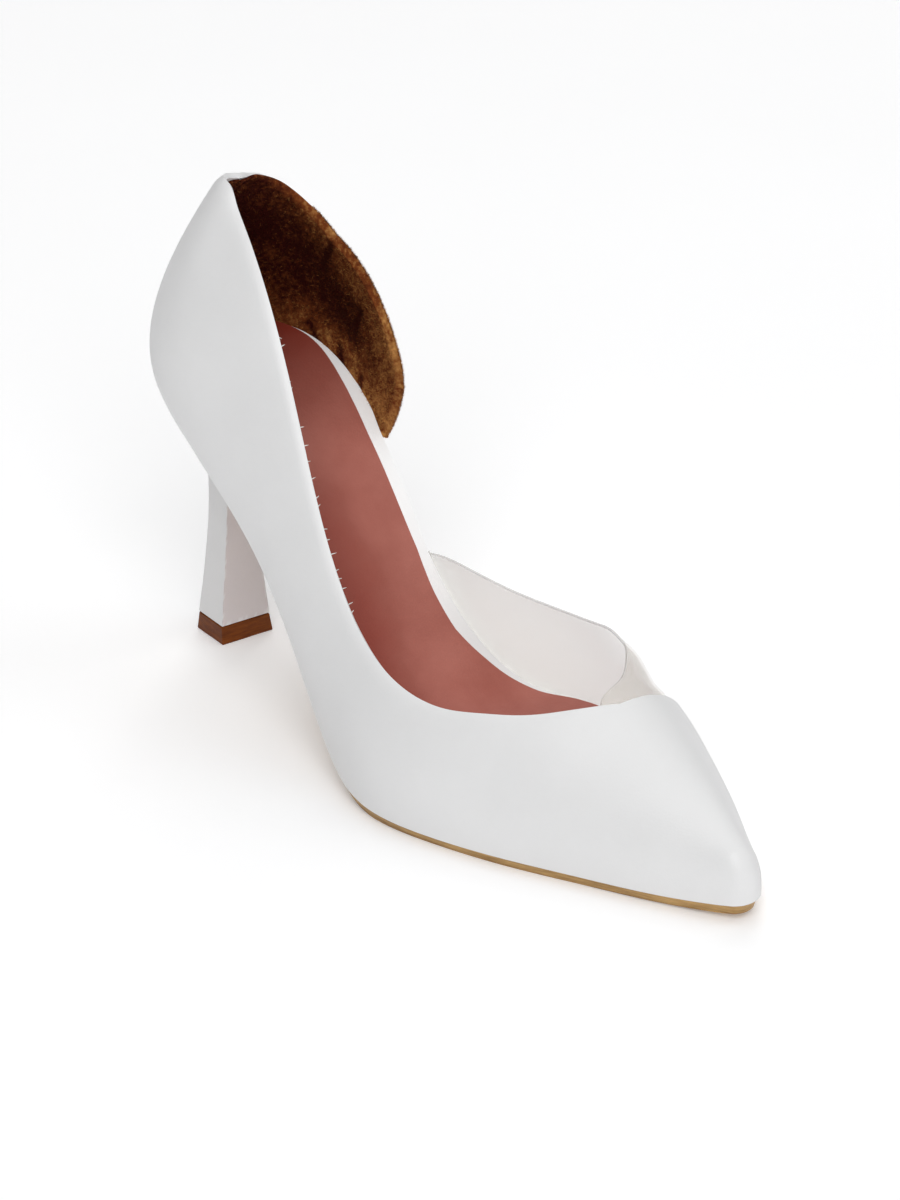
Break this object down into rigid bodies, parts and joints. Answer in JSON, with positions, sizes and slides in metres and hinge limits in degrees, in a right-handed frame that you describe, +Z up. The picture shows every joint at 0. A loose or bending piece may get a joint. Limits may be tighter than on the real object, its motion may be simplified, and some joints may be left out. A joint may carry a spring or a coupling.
{
  "type": "pointed toe pump",
  "caption": "High-heeled pump with a pointed toe, a closed outer side, an inner side open at the waist, a clear side panel and a slim flared heel.",
  "frame": {"origin": "middle of the shoe's box in plan, on the floor that it stands on", "axes": "+Z up, -Y towards the toe, +X towards the inner side of the foot"},
  "size_m": [0.0812, 0.2306, 0.1472],
  "materials": {
    "upper": "smooth white leather, low gloss",
    "side_panel": "clear glossy sheet",
    "insole": "matt rose leather sock",
    "outsole": "tan sole leather, waxed edge",
    "heel": "smooth white leather cover, low gloss",
    "heel_tip": "dark brown top lift"
  },
  "bodies": {
    "root": {"upper": "upper", "side_panel": "side_panel", "insole": "insole", "outsole": "outsole", "heel": "heel", "heel_tip": "heel_tip"}
  },
  "joints": []
}
